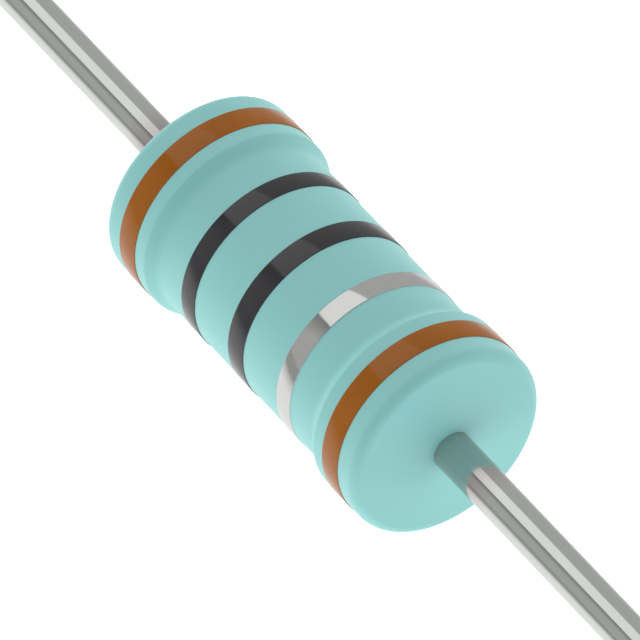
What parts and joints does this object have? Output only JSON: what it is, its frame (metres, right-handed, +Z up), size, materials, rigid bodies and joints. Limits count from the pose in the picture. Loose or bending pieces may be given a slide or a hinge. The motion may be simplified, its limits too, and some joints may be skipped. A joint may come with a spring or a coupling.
{
  "type": "axial resistor",
  "caption": "Axial film resistor: a round lacquered body with raised ends, painted colour bands and a straight wire lead on each end.",
  "frame": {"origin": "middle of the body, on the axis of the leads", "axes": "+X along the leads towards the end of the last colour band, +Z up; the part is round about X"},
  "size_m": [0.0644, 0.0042, 0.0042],
  "materials": {
    "ceramic": "matt fired ceramic",
    "resistive_film": "dark metal film",
    "plated_steel": "dull tin plating",
    "tinned_copper": "bright drawn tin plating",
    "lacquer": "smooth satin lacquer",
    "brown_paint": "satin paint",
    "black_paint": "satin paint",
    "silver_paint": "bright metallic paint"
  },
  "bodies": {
    "root": {"ceramic_rod": "ceramic", "resistive_film": "resistive_film", "end_cap_left": "plated_steel", "end_cap_right": "plated_steel", "lead_left": "tinned_copper", "lead_right": "tinned_copper", "lacquer_coat": "lacquer", "band_1_brown": "brown_paint", "band_2_black": "black_paint", "band_3_black": "black_paint", "band_4_silver": "silver_paint", "band_5_brown": "brown_paint"}
  },
  "joints": []
}
